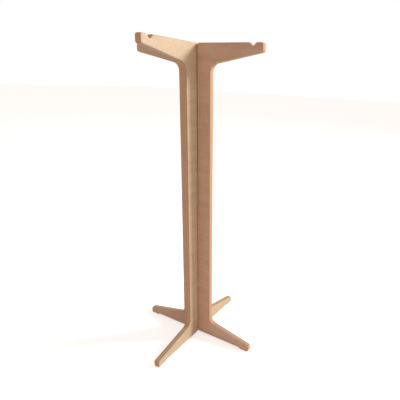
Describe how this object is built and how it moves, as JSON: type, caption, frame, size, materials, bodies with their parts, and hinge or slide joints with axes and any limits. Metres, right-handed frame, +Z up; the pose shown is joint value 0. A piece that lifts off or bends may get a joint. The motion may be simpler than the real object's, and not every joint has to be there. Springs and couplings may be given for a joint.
{
  "type": "chime stand",
  "caption": "Slot-together plywood stand: crossing I-shaped panels with a notched arm on each side at the top for hanging chimes, and tapered feet.",
  "frame": {"origin": "on the upright axis where the panels cross, at the floor", "axes": "+Z up; +X along the base panel's front right arm; -Y along the cross panel's front left arm"},
  "size_m": [0.204, 0.204, 0.45],
  "materials": {
    "birch_plywood": "fine sanded, bare or clear matt finish, with the plies showing on every edge"
  },
  "bodies": {
    "base": {"base_panel": "birch_plywood"},
    "cross": {"cross_panel": "birch_plywood"}
  },
  "joints": [
    {"name": "panel_lift", "type": "slide", "parent": "base", "child": "cross", "axis": [0, 0, 1], "range_m": [0, 0.225]}
  ]
}
